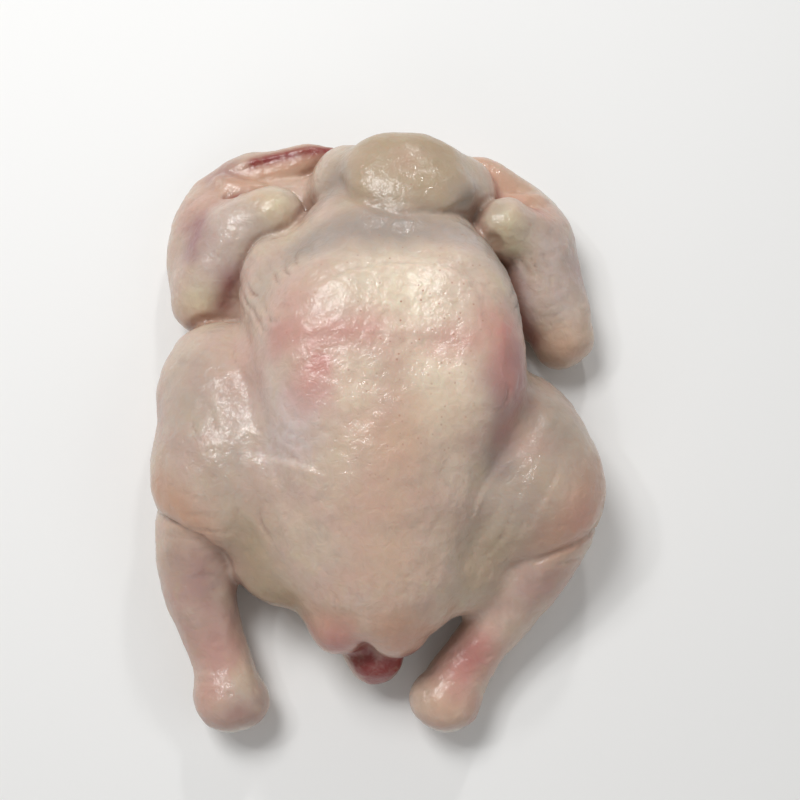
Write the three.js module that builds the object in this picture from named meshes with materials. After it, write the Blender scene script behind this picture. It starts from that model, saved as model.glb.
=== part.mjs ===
// Whole raw chicken, plucked and dressed, lying on its back on a table.
// The neck end points to +Y, the tail and the hocks to -Y, and the breast to +Z.
// Left is -X, as seen from above with the neck end away from the viewer.
// Skin and meat are one piece, so the bird is one solid. Rounded forms stand for the trunk,
// the neck skin, the tail, the wings and the legs, and they run into each other as skin does.
import * as THREE from "three";

// Sizes and places are in millimetres, angles in degrees.
// The sketch has its floor at z = 0 and its y axis close to the breastbone.
// A lobe is an egg-like form: its middle, its three half sizes, and its yaw and roll.
// A route is a list of [x, y, z, radius] points that a round limb runs through.

// Trunk: rib cage and back, the two breast muscles, the keel, the belly behind it, and the skin
// that spans from the breast to the left upper arm.
const TRUNK = { at: [0.5, 13, 29.5], half: [48.5, 82, 35], yaw: -2.5 };
const BREAST_LEFT = { at: [-11, 29, 40], half: [29, 45, 29], yaw: -8, roll: 4 };
const BREAST_RIGHT = { at: [26, 27, 41], half: [24.5, 45, 28.5], yaw: 4, roll: 4 };
const KEEL = [[8.5, 50, 47, 13.5], [8, 17, 53, 13.5], [4.5, -31, 46, 10.5], [2.6, -56.5, 35, 7.5]];
const BELLY = { at: [2.6, -47, 28], half: [28, 22, 23] };
const GROIN_SKIN_LEFT = { at: [-29, -36, 22], half: [21, 22, 19], yaw: -30 };
const GROIN_SKIN_RIGHT = { at: [27, -39, 22], half: [18, 21, 17], yaw: 25 };
const VENT_LOBE_LEFT = { at: [-12, -63, 25], half: [10.5, 10.5, 13] };
const VENT_LOBE_RIGHT = { at: [6, -64.5, 27], half: [11.5, 10, 14] };
const FLANK_SKIN_LEFT = { at: [-33, 49, 28], half: [15, 25, 17.5], yaw: 6 };
const BREAST_TOP = 68.5;

// Neck skin, folded over where the neck was cut and down to its lip, the skin from it to each
// wing, and the tail with the flesh of the vent on it.
const NECK_SKIN = { at: [9.5, 90, 32], half: [25, 17.5, 22], pitch: -10 };
const NECK_LIP = { at: [12.5, 83, 43], half: [21.5, 11.5, 12.5] };
const NECK_SIDE_LEFT = { at: [-12, 91, 23], half: [13, 17, 16] };
const NECK_SIDE_RIGHT = { at: [30, 87, 24], half: [13, 16, 16] };
const SHOULDER_SKIN_LEFT = { at: [-35, 84, 12], half: [23, 21, 12] };
const SHOULDER_SKIN_RIGHT = { at: [41, 82, 12], half: [18, 21, 12] };
const TAIL = { at: [-1.2, -67, 13], half: [11.5, 13.5, 9.5], pitch: 8 };
const TAIL_TIP = { at: [-0.5, -76, 13], half: [6.8, 7, 7], pitch: 14 };
const VENT_FLESH = { at: [0.5, -74, 18], half: [8, 7.5, 5.5], yaw: 8, roll: -6 };

// Wings, folded flat: upper arm out to the elbow, forearm back up, hand in towards the neck.
// The armpit is the low skin that closes the gap between the upper arm and the ribs, and the
// fold is the skin along the inner side of the upper arm.
const WING_LEFT = {
  upperArm: [[-38, 79.5, 29, 9.5], [-48, 76, 27, 12], [-55, 67, 23, 12.3], [-61, 57.5, 19.5, 11.5],
    [-63.5, 51, 17.5, 10.5]],
  shoulder: { at: [-37.5, 79.5, 30], half: [12, 10, 11.5] },
  forearm: [[-64, 53, 13, 10], [-66.5, 65, 12, 11], [-67, 80, 12, 11], [-62, 93, 12, 9]],
  web: { at: [-56, 78, 15], half: [15.5, 18, 15.5], yaw: 15 },
  armpit: { at: [-46, 54, 9], half: [20, 25, 15], yaw: 20 },
  fold: { at: [-51, 66, 17], half: [8, 13, 12], yaw: 25 },
  hand: [[-61.5, 92, 12, 9], [-50, 98.5, 15, 9.5], [-35, 103.5, 17, 7.5], [-26, 106.5, 18, 6],
    [-18, 107, 17.5, 4.8]],
  thumb: [[-57, 94, 20, 5.5], [-49, 92.5, 22, 4.5], [-43, 93, 22, 2.6]],
};
const WING_RIGHT = {
  upperArm: [[45.5, 74.5, 30, 10], [54, 71, 26.5, 11], [61, 61, 20.5, 11], [66, 49, 15.5, 10.4],
    [68, 39.5, 12.5, 10]],
  shoulder: { at: [44.5, 74, 31.5], half: [10.5, 10.5, 12] },
  forearm: [[67.5, 40, 11.5, 9.8], [66, 54, 12, 10], [63.5, 68, 12, 10.5], [57.5, 86, 12, 9]],
  web: { at: [58, 70, 15], half: [13, 18, 15.5], yaw: -14 },
  armpit: { at: [45, 57, 7], half: [18, 19, 12], yaw: -20 },
  fold: { at: [57.5, 56, 16], half: [8.5, 16, 13], yaw: 6 },
  hand: [[57.5, 86, 12, 9], [51, 92, 15, 8.5], [43.5, 97, 17, 7.5], [38, 100.5, 18, 6], [34, 102.5, 18, 4.8]],
  thumb: [[57, 87, 20, 5], [51, 86, 22, 4.5], [46.5, 88, 22, 2.6]],
};
const HAND_FLATNESS = 0.8;

// Legs: the thigh under its skin, the knee, and the drumstick down to the cut hock.
const LEG_LEFT = {
  thigh: { at: [-43, -5, 25], half: [32, 37, 25], roll: 8 },
  flank: { at: [-55, 17, 20], half: [22, 26, 20], yaw: 10 },
  knee: { at: [-57, -13, 26], half: [19, 20, 19] },
  drumstick: [[-60, -22, 20, 17], [-62, -42, 18, 13.5], [-60.5, -54, 16.5, 12], [-57, -66, 14.5, 10.2],
    [-53, -76, 13, 9.8], [-49.5, -88, 12.5, 11.5]],
  knuckles: [{ at: [-55.5, -87.5, 12], half: [7, 7, 8] }, { at: [-43.5, -89, 12], half: [7, 7, 8] }],
};
const LEG_RIGHT = {
  thigh: { at: [45, -11, 25], half: [29.5, 34, 25], yaw: 12, roll: -8 },
  flank: { at: [50, 3, 18], half: [18, 19, 18], yaw: -8 },
  knee: { at: [58, -17.5, 26], half: [18.5, 20, 19] },
  drumstick: [[58, -28, 21, 17], [54, -42, 19, 14], [46, -56, 16, 11.3], [37, -68, 14, 9.2],
    [29.5, -79, 12.5, 9.4], [23.5, -89.5, 12.5, 10.6]],
  knuckles: [{ at: [18.5, -89, 12], half: [6.5, 6.5, 7.5] },
    { at: [28, -90.5, 12], half: [6.5, 6.5, 7.5] }],
};

// Folds and hollows in the skin: a route of [x, y, z] points, and how wide and deep it is.
const CROP_HOLLOW = {
  route: [[-22, 60, 52], [-6, 63, 58], [10, 64, 61], [28, 61, 57]], width: 10, depth: 2,
};
const BREASTBONE_LINE = {
  route: [[8.5, 46, 70], [8.5, 28, 71], [7.5, 10, 70], [6, -10, 68.5]], width: 6, depth: 0.6,
};
const NECK_FOLD = {
  route: [[-13, 87, 44], [-7, 79, 49], [4, 74, 53], [13, 73, 54], [24, 74, 53], [32, 79, 47]],
  width: 3,
  depth: 1.5,
};
const GROIN_LEFT = {
  route: [[-43, 12, 47], [-37, -4, 52], [-26, -22, 50], [-18, -36, 44]], width: 6, depth: 1.4,
};
const GROIN_RIGHT = {
  route: [[50, 2, 47], [44, -14, 52], [36, -30, 48], [28, -42, 42]], width: 6, depth: 1.4,
};
const KNEE_FOLD_LEFT = {
  route: [[-78, -24, 22], [-70, -28, 32], [-60, -31, 35], [-52, -37, 32], [-49, -45, 28]],
  width: 3.5,
  depth: 1.6,
};
const KNEE_FOLD_RIGHT = {
  route: [[78, -26, 20], [70, -31, 29], [62, -36, 32], [54, -43, 31]], width: 3.5, depth: 1.6,
};

// How far the skin bridges a joint between two forms, from a crease to a soft flow.
// A crease narrower than a facet is drawn as a shallow valley.
const CREASE = 5.5;
const SOFT_JOIN = 7;
const ARMPIT = 9;
const FLOW = 10;
const FLOOR_ROUNDING = 4.5;

// Facets: the grid step, the box of the grid, and how near the floor counts as lying on it.
const CELL = 5;
const GRID_LOW = [-90, -112, -8];
const GRID_HIGH = [92, 126, 80];
const RESTING_HEIGHT = 0.6;
const SPLINE_STEPS = 5;
const EVENING_ROUNDS = 2;

function lobe({ at, half, yaw = 0, pitch = 0, roll = 0 }) {
  const degrees = Math.PI / 180;
  const turned = new THREE.Euler(pitch * degrees, roll * degrees, yaw * degrees, "ZXY");
  const back = new THREE.Quaternion().setFromEuler(turned).invert();
  const q = new THREE.Vector3();
  return (p) => {
    q.set(p.x - at[0], p.y - at[1], p.z - at[2]).applyQuaternion(back);
    const near = Math.hypot(q.x / half[0], q.y / half[1], q.z / half[2]);
    const steep = Math.hypot(q.x / half[0] ** 2, q.y / half[1] ** 2, q.z / half[2] ** 2);
    return near * (near - 1) / Math.max(steep, 1e-6);
  };
}

// Catmull-Rom curve through the points, carrying every number of each point.
function spline(points, steps = SPLINE_STEPS) {
  const mirror = (end, next) => end.map((value, i) => 2 * value - next[i]);
  const count = points.length;
  const all = [mirror(points[0], points[1]), ...points, mirror(points[count - 1], points[count - 2])];
  const out = [];
  for (let i = 1; i < count; i += 1) {
    const [a, b, c, d] = all.slice(i - 1, i + 3);
    for (let step = 0; step < steps; step += 1) {
      const s = step / steps;
      out.push(b.map((value, k) => {
        const slope = c[k] - a[k];
        const bend = 2 * a[k] - 5 * value + 4 * c[k] - d[k];
        const twist = 3 * value - a[k] - 3 * c[k] + d[k];
        return 0.5 * (2 * value + slope * s + bend * s ** 2 + twist * s ** 3);
      }));
    }
  }
  out.push(points[count - 1]);
  return out;
}

// Round limb along a route. A flatness under 1 makes it thinner in height than in width.
function limb(points, flatness = 1) {
  const route = spline(points);
  return (p) => {
    let nearest = Infinity;
    for (let i = 0; i + 1 < route.length; i += 1) {
      const [ax, ay, az, ar = 0] = route[i];
      const [bx, by, bz, br = 0] = route[i + 1];
      const [sx, sy, sz] = [bx - ax, by - ay, bz - az];
      const along = ((p.x - ax) * sx + (p.y - ay) * sy + (p.z - az) * sz) / (sx * sx + sy * sy + sz * sz);
      const t = Math.min(Math.max(along, 0), 1);
      const height = (p.z - az - t * sz) / flatness;
      const gap = Math.hypot(p.x - ax - t * sx, p.y - ay - t * sy, height) - (ar + (br - ar) * t);
      nearest = Math.min(nearest, gap);
    }
    return nearest;
  };
}

// Joins two distances with a rounded seam about as wide as reach.
function melt(a, b, reach) {
  const overlap = Math.max(reach - Math.abs(a - b), 0);
  return Math.min(a, b) - overlap * overlap / (4 * reach);
}

function fold({ route, width, depth }) {
  const line = limb(route);
  return (p) => depth * Math.exp(-((line(p) / width) ** 2));
}

function makeTrunk() {
  const ribs = lobe(TRUNK);
  const breasts = [lobe(BREAST_LEFT), lobe(BREAST_RIGHT)];
  const keel = limb(KEEL);
  const belly = lobe(BELLY);
  const skins = [FLANK_SKIN_LEFT, GROIN_SKIN_LEFT, GROIN_SKIN_RIGHT].map(lobe);
  const ventLeft = lobe(VENT_LOBE_LEFT);
  const ventRight = lobe(VENT_LOBE_RIGHT);
  const hollows = [fold(CROP_HOLLOW), fold(BREASTBONE_LINE)];
  return (p) => {
    let d = ribs(p);
    for (const breast of breasts) d = melt(d, breast(p), SOFT_JOIN);
    d = melt(d, keel(p), FLOW);
    d = melt(d, belly(p), FLOW);
    for (const skin of skins) d = melt(d, skin(p), SOFT_JOIN);
    d = melt(d, ventLeft(p), SOFT_JOIN);
    d = melt(d, ventRight(p), CREASE);
    for (const hollow of hollows) d += hollow(p);
    return -melt(-d, BREAST_TOP - p.z, SOFT_JOIN);
  };
}

function makeNeck() {
  const middle = lobe(NECK_SKIN);
  const sides = [lobe(NECK_LIP), lobe(NECK_SIDE_LEFT), lobe(NECK_SIDE_RIGHT)];
  const shoulders = [lobe(SHOULDER_SKIN_LEFT), lobe(SHOULDER_SKIN_RIGHT)];
  return (p) => {
    const flap = sides.reduce((d, side) => melt(d, side(p), SOFT_JOIN), middle(p));
    return shoulders.reduce((d, shoulder) => melt(d, shoulder(p), SOFT_JOIN), flap);
  };
}

function makeTail() {
  const root = lobe(TAIL);
  const tip = lobe(TAIL_TIP);
  const ventFlesh = lobe(VENT_FLESH);
  return (p) => melt(melt(root(p), tip(p), SOFT_JOIN), ventFlesh(p), CREASE);
}

function makeWing(wing) {
  const skins = [wing.shoulder, wing.web, wing.armpit, wing.fold].map(lobe);
  const soft = [limb(wing.forearm), ...skins];
  const upperArm = limb(wing.upperArm);
  const hand = limb(wing.hand, HAND_FLATNESS);
  const thumb = limb(wing.thumb);
  return (p) => {
    const arm = soft.reduce((d, form) => melt(d, form(p), SOFT_JOIN), upperArm(p));
    return melt(arm, melt(hand(p), thumb(p), CREASE), CREASE);
  };
}

function makeLeg(leg) {
  const thigh = lobe(leg.thigh);
  const flank = lobe(leg.flank);
  const knee = lobe(leg.knee);
  const drumstick = limb(leg.drumstick);
  const knuckles = leg.knuckles.map(lobe);
  return (p) => {
    const lower = knuckles.reduce((d, knuckle) => melt(d, knuckle(p), SOFT_JOIN), drumstick(p));
    const upper = melt(melt(thigh(p), flank(p), FLOW), knee(p), FLOW);
    return melt(upper, lower, CREASE);
  };
}

// Distance from a point to the skin of the whole bird, negative inside.
function makeBird() {
  const trunk = makeTrunk();
  const neck = makeNeck();
  const tail = makeTail();
  const wings = [makeWing(WING_LEFT), makeWing(WING_RIGHT)];
  const legs = [makeLeg(LEG_LEFT), makeLeg(LEG_RIGHT)];
  const folds = [NECK_FOLD, GROIN_LEFT, GROIN_RIGHT, KNEE_FOLD_LEFT, KNEE_FOLD_RIGHT].map(fold);
  return (p) => {
    let d = melt(trunk(p), neck(p), CREASE);
    d = melt(d, tail(p), SOFT_JOIN);
    for (const leg of legs) d = melt(d, leg(p), SOFT_JOIN);
    for (const wing of wings) d = melt(d, wing(p), ARMPIT);
    for (const crease of folds) d += crease(p);
    return -melt(-d, p.z, FLOOR_ROUNDING);
  };
}

// Samples the distance on a grid: value(i, j, k) and the helpers that walk over it.
function makeGrid(distance) {
  const size = GRID_LOW.map((low, axis) => Math.ceil((GRID_HIGH[axis] - low) / CELL) + 1);
  const stride = [1, size[0], size[0] * size[1]];
  const values = new Float64Array(size[0] * size[1] * size[2]);
  const p = new THREE.Vector3();
  for (let k = 0; k < size[2]; k += 1) {
    for (let j = 0; j < size[1]; j += 1) {
      for (let i = 0; i < size[0]; i += 1) {
        p.set(GRID_LOW[0] + i * CELL, GRID_LOW[1] + j * CELL, GRID_LOW[2] + k * CELL);
        values[i + j * stride[1] + k * stride[2]] = distance(p);
      }
    }
  }
  return { size, stride, values };
}

// Fills a sample where two skins would touch in one edge or one corner only,
// so that the net below is one closed sheet everywhere.
function closePinches({ size, stride, values }) {
  const inside = (at) => values[at] < 0;
  const fill = (at) => {
    values[at] = -0.05;
    return 1;
  };
  let filled = 1;
  while (filled > 0) {
    filled = 0;
    for (let at = 0; at < values.length - stride[2] - stride[1] - 1; at += 1) {
      for (const [u, v] of [[0, 1], [1, 2], [2, 0]]) {
        const [a, b, c, d] = [at, at + stride[u], at + stride[v], at + stride[u] + stride[v]];
        const nearest = (p, q) => (values[p] < values[q] ? p : q);
        if (inside(a) && inside(d) && !inside(b) && !inside(c)) filled += fill(nearest(b, c));
        if (inside(b) && inside(c) && !inside(a) && !inside(d)) filled += fill(nearest(a, d));
      }
      for (const [x, y, z] of [[0, 0, 0], [1, 0, 0], [0, 1, 0], [0, 0, 1]]) {
        const corner = (i, j, k) => at + i * stride[0] + j * stride[1] + k * stride[2];
        const near = corner(x, y, z);
        const far = corner(1 - x, 1 - y, 1 - z);
        const others = [corner(1 - x, y, z), corner(x, 1 - y, z), corner(x, y, 1 - z),
          corner(1 - x, 1 - y, z), corner(1 - x, y, 1 - z), corner(x, 1 - y, 1 - z)];
        const alone = inside(near) && inside(far) && !others.some(inside);
        const hole = !inside(near) && !inside(far) && others.every(inside);
        if (alone) filled += fill(others[0]);
        if (hole) filled += fill(near);
      }
    }
  }
  return { size, stride, values };
}

// One point in every grid cell that the skin crosses, at the mean of its crossings.
function netPoints({ size, stride, values }) {
  const numbers = new Int32Array(values.length).fill(-1);
  const points = [];
  for (let k = 0; k + 1 < size[2]; k += 1) {
    for (let j = 0; j + 1 < size[1]; j += 1) {
      for (let i = 0; i + 1 < size[0]; i += 1) {
        const cell = i + j * stride[1] + k * stride[2];
        const sum = new THREE.Vector3();
        let crossings = 0;
        for (let axis = 0; axis < 3; axis += 1) {
          for (let corner = 0; corner < 4; corner += 1) {
            const offset = [0, 0, 0];
            offset[(axis + 1) % 3] = corner & 1;
            offset[(axis + 2) % 3] = corner >> 1;
            const start = cell + offset[0] * stride[0] + offset[1] * stride[1] + offset[2] * stride[2];
            const [from, to] = [values[start], values[start + stride[axis]]];
            if ((from < 0) === (to < 0)) continue;
            offset[axis] = from / (from - to);
            sum.add(new THREE.Vector3(...offset));
            crossings += 1;
          }
        }
        if (crossings === 0) continue;
        numbers[cell] = points.length;
        const middle = sum.divideScalar(crossings).add(new THREE.Vector3(i, j, k)).multiplyScalar(CELL);
        points.push(middle.add(new THREE.Vector3(...GRID_LOW)));
      }
    }
  }
  return { points, numbers };
}

// Two triangles round every grid edge that the skin crosses, split along the shorter diagonal.
function netFaces({ stride, values }, { points, numbers }) {
  const faces = [];
  for (let at = stride[2] + stride[1] + 1; at < values.length - stride[2]; at += 1) {
    for (let axis = 0; axis < 3; axis += 1) {
      const leaves = values[at] < 0 && values[at + stride[axis]] >= 0;
      const enters = values[at] >= 0 && values[at + stride[axis]] < 0;
      if (!leaves && !enters) continue;
      const u = stride[(axis + 1) % 3];
      const v = stride[(axis + 2) % 3];
      const around = [at - u - v, at - v, at, at - u].map((cell) => numbers[cell]);
      const [a, b, c, d] = leaves ? around : around.reverse();
      const straight = points[a].distanceTo(points[c]) <= points[b].distanceTo(points[d]);
      if (straight) faces.push(a, b, c, a, c, d);
      else faces.push(a, b, d, b, c, d);
    }
  }
  return faces;
}

// Moves each point halfway to the middle of its neighbours, to even out the facets.
function relax(points, faces) {
  const sums = points.map(() => new THREE.Vector3());
  const counts = points.map(() => 0);
  for (let at = 0; at < faces.length; at += 3) {
    for (const [from, to] of [[0, 1], [1, 2], [2, 0]]) {
      sums[faces[at + from]].add(points[faces[at + to]]);
      counts[faces[at + from]] += 1;
    }
  }
  points.forEach((p, i) => p.lerp(sums[i].divideScalar(counts[i]), 0.5));
}

// Moves each point onto the skin along the slope of the distance.
function settle(points, distance) {
  const step = 0.2;
  const limit = 0.3 * CELL;
  const at = (p, axis, by) => distance(p.clone().setComponent(axis, p.getComponent(axis) + by));
  for (const p of points) {
    const value = distance(p);
    const slopes = [0, 1, 2].map((axis) => (at(p, axis, step) - at(p, axis, -step)) / (2 * step));
    const slope = new THREE.Vector3(...slopes);
    const move = slope.multiplyScalar(-value / Math.max(slope.lengthSq(), 0.05));
    p.add(move.clampLength(0, limit));
  }
}

// Makes the bird lie truly flat where it all but touches the table.
function rest(points) {
  for (const p of points) if (p.z < RESTING_HEIGHT) p.z = 0;
}

function makeSkin() {
  const bird = makeBird();
  const grid = closePinches(makeGrid(bird));
  const net = netPoints(grid);
  const faces = netFaces(grid, net);
  for (let round = 0; round < EVENING_ROUNDS; round += 1) {
    settle(net.points, bird);
    relax(net.points, faces);
  }
  rest(net.points);
  const geometry = new THREE.BufferGeometry().setFromPoints(net.points);
  geometry.setIndex(faces);
  geometry.computeBoundingBox();
  const middle = geometry.boundingBox.getCenter(new THREE.Vector3());
  geometry.translate(-middle.x, -middle.y, 0);
  geometry.computeVertexNormals();
  return geometry;
}

const rawSkin = new THREE.MeshStandardMaterial({ color: 0xd9b8a0, roughness: 0.35, metalness: 0 });
const chicken = new THREE.Mesh(makeSkin(), rawSkin);
chicken.name = "chicken";

const bird = new THREE.Group();
bird.add(chicken);

export default bird;
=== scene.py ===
import math

import bpy
import numpy as np
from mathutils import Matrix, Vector, noise


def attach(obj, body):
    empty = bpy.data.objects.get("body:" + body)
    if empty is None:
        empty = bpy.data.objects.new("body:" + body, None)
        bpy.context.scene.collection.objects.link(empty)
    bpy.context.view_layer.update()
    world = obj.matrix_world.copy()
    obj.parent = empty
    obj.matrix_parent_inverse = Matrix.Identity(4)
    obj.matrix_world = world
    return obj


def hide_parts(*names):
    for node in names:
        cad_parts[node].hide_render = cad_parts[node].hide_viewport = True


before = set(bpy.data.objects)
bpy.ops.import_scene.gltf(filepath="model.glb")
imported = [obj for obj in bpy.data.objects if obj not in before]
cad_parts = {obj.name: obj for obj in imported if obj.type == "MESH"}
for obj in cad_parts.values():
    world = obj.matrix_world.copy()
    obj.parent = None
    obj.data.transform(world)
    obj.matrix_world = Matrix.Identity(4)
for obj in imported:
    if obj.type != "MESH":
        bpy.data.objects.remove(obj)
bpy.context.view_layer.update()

MM = 0.001
SKETCH_MIDDLE = Vector((0.37, 5.98, 0))    # the bird's own origin, in the sketch below

# Camera
# The bird lies on its back and is seen from the tail side, looking down steeply,
# so that the breast fills the middle of the picture and the neck end is at its top.
CAMERA_AIM = (Vector((8, 11.5, 34.2)) - SKETCH_MIDDLE) * MM
CAMERA_DISTANCE = 393.3 * MM
CAMERA_ELEVATION = math.radians(78)
CAMERA_LENS = 51.75

camera_data = bpy.data.cameras.new("camera")
camera_data.lens = CAMERA_LENS
camera_data.sensor_width = 36
camera = bpy.data.objects.new("camera", camera_data)
camera_back = Vector((0, -math.cos(CAMERA_ELEVATION), math.sin(CAMERA_ELEVATION)))
camera.location = CAMERA_AIM + camera_back * CAMERA_DISTANCE
camera.rotation_mode = "QUATERNION"
camera.rotation_quaternion = (-camera_back).to_track_quat("-Z", "Y")
bpy.context.scene.collection.objects.link(camera)
bpy.context.scene.camera = camera

# Trunk
# Rib cage and back, the two breast muscles over the keel, and the soft belly behind them.
# Skin and meat are one piece with the rest of the bird. Forms are egg-like lobes and round
# limbs, in millimetres over the table, and they run into each other as skin does.
TIGHT = 1.5
SOFT = 6
FLOW = 10
REACH_OF_A_FORM = 20
FAR = 1e3
TRUNK = dict(at=(0.5, 13, 29.5), half=(48.5, 82, 35), yaw=-2.5)
BREAST_LEFT = dict(at=(-11, 29, 40), half=(29, 45, 29), yaw=-8, roll=4)
BREAST_RIGHT = dict(at=(26, 27, 41), half=(24.5, 45, 28.5), yaw=4, roll=4)
KEEL = [(8.5, 50, 47, 13.5), (8, 17, 53, 13.5), (4.5, -31, 46, 10.5), (2.6, -56.5, 35, 7.5)]
BELLY = dict(at=(2.6, -47, 28), half=(28, 22, 23))
GROIN_SKIN_LEFT = dict(at=(-29, -36, 22), half=(21, 22, 19), yaw=-30)
GROIN_SKIN_RIGHT = dict(at=(27, -39, 22), half=(18, 21, 17), yaw=25)
VENT_LOBE_LEFT = dict(at=(-12, -63, 25), half=(10.5, 10.5, 13))
VENT_LOBE_RIGHT = dict(at=(6, -64.5, 27), half=(11.5, 10, 14))
FLANK_SKIN_LEFT = dict(at=(-33, 49, 28), half=(15, 25, 17.5), yaw=6)
BREAST_TOP = 68.5
CROP_HOLLOW = [(-22, 60, 52), (-6, 63, 58), (10, 64, 61), (28, 61, 57)]
BREAST_ARC = [(34, 28, 63), (33.5, 36, 64), (31, 42, 64), (27, 46, 65), (20, 50, 66), (12, 51, 66),
              (0, 49, 66), (-10, 46, 65), (-17, 43, 64), (-24, 39, 61)]
OUTER_ARC = [(38, 34, 60), (34, 41, 62), (28, 47.5, 63), (20, 52.5, 64), (8, 55, 64)]
PINK_CREASE = [(36, 24, 62), (26, 24.6, 65), (13, 25, 66.5), (-1, 26, 66.5), (-16, 25.6, 65),
               (-28, 27, 60)]
BREASTBONE_LINE = [(8.5, 46, 70), (8.5, 28, 71), (7.5, 10, 70), (6, -10, 68.5)]
VENT_SLIT = [(-3, -57, 42), (-3.5, -64, 38), (-3, -72, 28)]


class Cloud:
    """Sample points with their box, so that forms far from them can be skipped."""

    def __init__(self, points):
        self.x, self.y, self.z = np.ascontiguousarray(np.asarray(points).T, np.float32)
        self.low = np.array([self.x.min(), self.y.min(), self.z.min()])
        self.high = np.array([self.x.max(), self.y.max(), self.z.max()])

    def misses(self, low, high):
        gap = np.maximum(np.maximum(low - self.high, self.low - high), 0)
        return gap @ gap > REACH_OF_A_FORM**2

    def far(self):
        return np.full(len(self.x), FAR, np.float32)


def turned(yaw, pitch, roll):
    """Matrix of a roll about y, then a pitch about x, then a yaw about z, in degrees."""
    a, b, c = np.radians([yaw, pitch, roll])
    about_z = np.array([[np.cos(a), -np.sin(a), 0], [np.sin(a), np.cos(a), 0], [0, 0, 1]])
    about_x = np.array([[1, 0, 0], [0, np.cos(b), -np.sin(b)], [0, np.sin(b), np.cos(b)]])
    about_y = np.array([[np.cos(c), 0, np.sin(c)], [0, 1, 0], [-np.sin(c), 0, np.cos(c)]])
    return about_z @ about_x @ about_y


def lobe(cloud, at, half, yaw=0, pitch=0, roll=0):
    """Distance to an egg-like form with three half sizes."""
    middle = np.array(at, float)
    if cloud.misses(middle - max(half), middle + max(half)):
        return cloud.far()
    x, y, z = cloud.x - middle[0], cloud.y - middle[1], cloud.z - middle[2]
    m = turned(yaw, pitch, roll)
    near = steep = 0
    for axis, r in enumerate(half):
        q = (x * m[0, axis] + y * m[1, axis] + z * m[2, axis]) / r
        near = near + q * q
        steep = steep + q * q / (r * r)
    near = np.sqrt(near)
    return near * (near - 1) / np.maximum(np.sqrt(steep), 1e-6)


def spline(points, steps=5):
    """Catmull-Rom curve through the points, carrying every number of each point."""
    rows = np.array(points, float)
    rows = np.vstack([2 * rows[0] - rows[1], rows, 2 * rows[-1] - rows[-2]])
    out = []
    for a, b, c, d in zip(rows, rows[1:], rows[2:], rows[3:]):
        for s in np.arange(steps) / steps:
            bend = (2 * a - 5 * b + 4 * c - d) * s**2 + (3 * b - a - 3 * c + d) * s**3
            out.append(0.5 * (2 * b + (c - a) * s + bend))
    out.append(rows[-2])
    return np.array(out)


def limb(cloud, route, flatness=1):
    """Distance to a round limb through (x, y, z, radius) rows, thinned in height by flatness."""
    nearest = cloud.far()
    for a, b in zip(route[:-1], route[1:]):
        r = max(a[3], b[3])
        if cloud.misses(np.minimum(a, b)[:3] - r, np.maximum(a, b)[:3] + r):
            continue
        s = b[:3] - a[:3]
        x, y, z = cloud.x - a[0], cloud.y - a[1], cloud.z - a[2]
        t = np.clip((x * s[0] + y * s[1] + z * s[2]) / (s @ s), 0, 1)
        height = (z - t * s[2]) / flatness
        gap = np.sqrt((x - t * s[0]) ** 2 + (y - t * s[1]) ** 2 + height * height)
        nearest = np.minimum(nearest, gap - (a[3] + (b[3] - a[3]) * t))
    return nearest


def melt(a, b, reach):
    """Joins two distances with a rounded seam about as wide as reach."""
    overlap = np.maximum(reach - np.abs(a - b), 0)
    return np.minimum(a, b) - overlap * overlap / (4 * reach)


def groove(cloud, route, width, depth):
    """How much a soft groove along (x, y, z) rows presses the skin in."""
    line = np.column_stack([route, np.zeros(len(route))])
    return depth * np.exp(-((limb(cloud, line) / width) ** 2))


keel_route = spline(KEEL)
crop_route = spline(CROP_HOLLOW)
breastbone_route = spline(BREASTBONE_LINE)
vent_route = spline(VENT_SLIT)


def trunk(cloud):
    d = lobe(cloud, **TRUNK)
    d = melt(d, lobe(cloud, **BREAST_LEFT), SOFT)
    d = melt(d, lobe(cloud, **BREAST_RIGHT), SOFT)
    d = melt(d, limb(cloud, keel_route), FLOW)
    d = melt(d, lobe(cloud, **BELLY), FLOW)
    d = melt(d, lobe(cloud, **FLANK_SKIN_LEFT), SOFT)
    d = melt(d, lobe(cloud, **GROIN_SKIN_LEFT), SOFT)
    d = melt(d, lobe(cloud, **GROIN_SKIN_RIGHT), SOFT)
    d = melt(d, lobe(cloud, **VENT_LOBE_LEFT), SOFT)
    d = melt(d, lobe(cloud, **VENT_LOBE_RIGHT), TIGHT)
    d = d + groove(cloud, crop_route, width=10, depth=2)
    d = d + groove(cloud, breastbone_route, width=6, depth=0.6)
    d = d + groove(cloud, vent_route, width=3, depth=2.2)
    return -melt(-d, BREAST_TOP - cloud.z, SOFT)


# Edges where one skin fold lies over the next. The raised skin is on the left, walking along.
skin_edges = []


def skin_edge(route, height, reach=7, sharpness=0.5):
    skin_edges.append((spline(route, steps=4), height, reach, sharpness))


skin_edge(BREAST_ARC, height=1.1, reach=9)
skin_edge(OUTER_ARC, height=0.7, reach=4)
skin_edge(PINK_CREASE, height=-0.4, reach=6, sharpness=1.6)

# Where the skin takes another tint: lists of (place or route in mm, reach in mm, strength).
TINT_KINDS = ("pale", "fat", "olive", "peach", "cool", "lilac", "blush", "purple", "meat", "bone", "pores")
tints = {kind: [] for kind in TINT_KINDS}


def tint(kind, place, reach, strength=1.0):
    tints[kind].append((np.atleast_2d(np.array(place, float)), reach, strength))


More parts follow.
